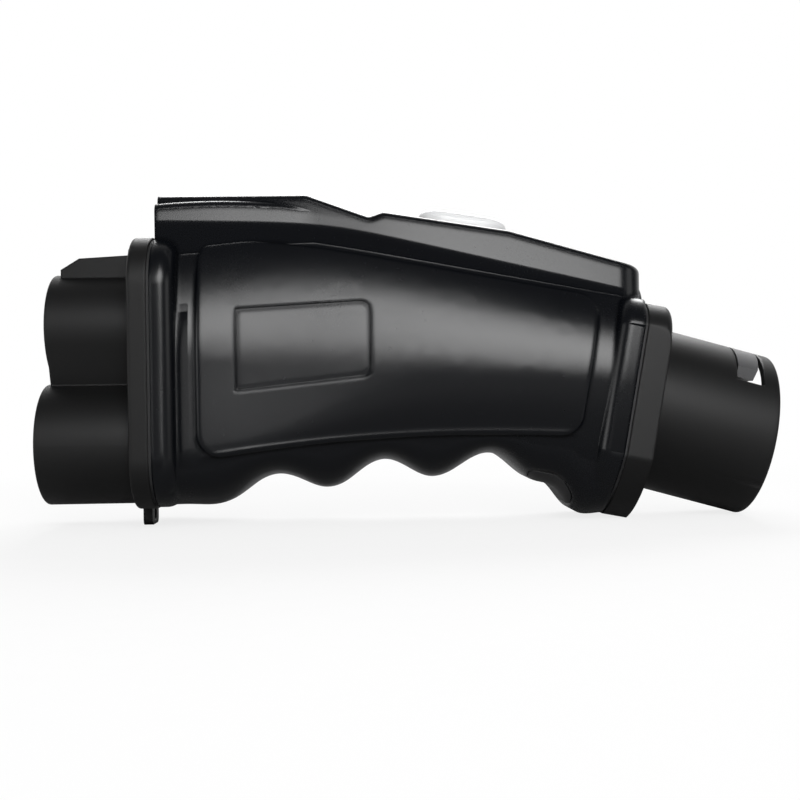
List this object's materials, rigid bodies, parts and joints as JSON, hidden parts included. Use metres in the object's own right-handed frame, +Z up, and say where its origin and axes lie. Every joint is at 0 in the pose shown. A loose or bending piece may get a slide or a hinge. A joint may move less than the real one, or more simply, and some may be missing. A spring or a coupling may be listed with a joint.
{
  "type": "electric vehicle charging adapter",
  "caption": "Hand-held charging adapter: a two-lobed inlet, a moulded grip housing with finger grooves, a thumb button and a tilted round plug with a latch claw.",
  "frame": {"origin": "middle of the bounding box's bottom, on the level the object stands on", "axes": "+X along the object from the inlet to the plug, +Y across it away from the side shown in the picture, +Z up"},
  "size_m": [0.292, 0.084, 0.1308],
  "materials": {
    "housing": "satin moulded black",
    "shell": "fine matt black",
    "insulator": "matt dark grey",
    "gasket": "matt black",
    "cover": "matt black",
    "screw": "blackened",
    "contact": "silver plated",
    "conductor": "bare copper",
    "board": "solder resist",
    "cell": "shrink sleeve",
    "button": "satin light grey",
    "lever": "matt dark grey",
    "steel": "bright"
  },
  "bodies": {
    "housing": {"battery_cell": "cell", "board_screws": "screw", "busbar_negative": "conductor", "busbar_positive": "conductor", "cell_cradle": "insulator", "contact_carrier": "insulator", "control_board": "board", "earth_pin": "contact", "earth_socket": "contact", "earth_strip": "conductor", "housing_far": "housing", "housing_near": "housing", "housing_screws": "screw", "inlet_gasket": "gasket", "inlet_screws": "screw", "inlet_shell": "shell", "latch_pivot_pin": "steel", "latch_spring": "steel", "plug_gasket": "gasket", "plug_screws": "screw", "plug_shell": "shell", "power_pin_carrier": "insulator", "power_pin_negative": "contact", "power_pin_positive": "contact", "power_socket_negative": "contact", "power_socket_positive": "contact", "service_socket": "steel", "signal_pin_carrier": "insulator", "signal_pins": "contact", "signal_sockets": "contact", "tether_eyelet": "shell"},
    "button": {"release_button": "button"},
    "latch": {"latch_lever": "lever"},
    "cover": {"port_cover": "cover"}
  },
  "joints": [
    {"name": "button_press", "type": "slide", "parent": "housing", "child": "button", "axis": [-0.1577, 0, -0.9875], "range_m": [0, 0.002], "stiffness_N_per_m": 1500, "springref_m": -0.002},
    {"name": "latch_swing", "type": "hinge", "parent": "housing", "child": "latch", "pos_m": [-0.02544, 0, 0.108], "axis": [0, 1, 0], "range_deg": [0, 1.87], "deforming": ["latch_spring"]},
    {"name": "cover_hinge", "type": "hinge", "parent": "housing", "child": "cover", "pos_m": [0.04405, 0, 0.01754], "axis": [0, 1, 0], "range_deg": [0, 90], "stiffness_Nm_per_rad": 0.004, "springref_deg": -17.19}
  ],
  "couplings": [
    {"joint": "latch_swing", "follows": "button_press", "rad_per_m": 16.129}
  ]
}
